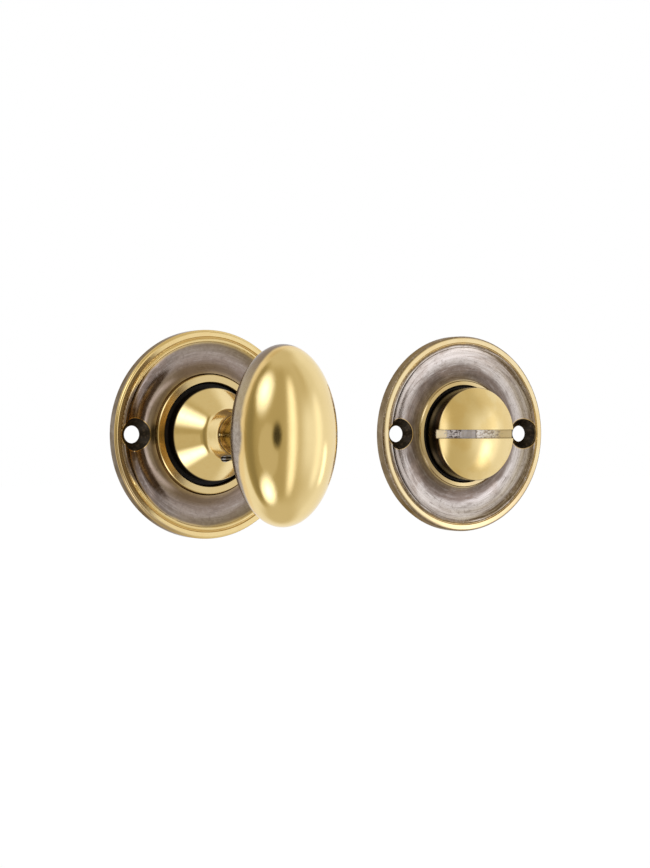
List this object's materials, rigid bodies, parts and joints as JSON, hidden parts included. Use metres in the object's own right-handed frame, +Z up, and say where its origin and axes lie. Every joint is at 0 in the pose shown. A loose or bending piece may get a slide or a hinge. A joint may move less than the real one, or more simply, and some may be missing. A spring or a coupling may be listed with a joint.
{
  "type": "bathroom thumb turn and release",
  "caption": "Round rose with an oval thumb turn on a flared stem, and a matching rose with a domed, slotted release, set side by side.",
  "frame": {"origin": "centre of the turn rose's back face, on the turn's axis", "axes": "+Z up; +Y into the door, so the turn and the release face -Y; +X from the turn half to the release half"},
  "size_m": [0.1324, 0.0785, 0.053],
  "materials": {
    "aged_rose": "dark patina with polished rims",
    "polished_brass": "polished, lightly aged",
    "black_nylon": "satin black",
    "dark_steel": "black oxide",
    "plated_steel": "plain zinc plate",
    "spring_steel": "oiled spring steel"
  },
  "bodies": {
    "roses": {"turn_rose": "aged_rose", "turn_bush": "black_nylon", "turn_spring": "spring_steel", "release_rose": "aged_rose", "release_bush": "black_nylon", "release_spring": "spring_steel"},
    "turn": {"turn_stem": "polished_brass", "oval_knob": "polished_brass", "grub_screw": "dark_steel", "spindle": "plated_steel", "turn_washer": "plated_steel", "turn_clip": "spring_steel"},
    "release": {"release_drum": "polished_brass", "release_plug": "plated_steel", "release_washer": "plated_steel", "release_clip": "spring_steel"}
  },
  "joints": [
    {"name": "thumb_turn", "type": "hinge", "parent": "roses", "child": "turn", "pos_m": [0, 0, 0], "axis": [0, 1, 0], "range_deg": [-90, 90]},
    {"name": "release_turn", "type": "hinge", "parent": "roses", "child": "release", "pos_m": [0.0794, 0, 0], "axis": [0, 1, 0], "range_deg": [-90, 90]}
  ]
}
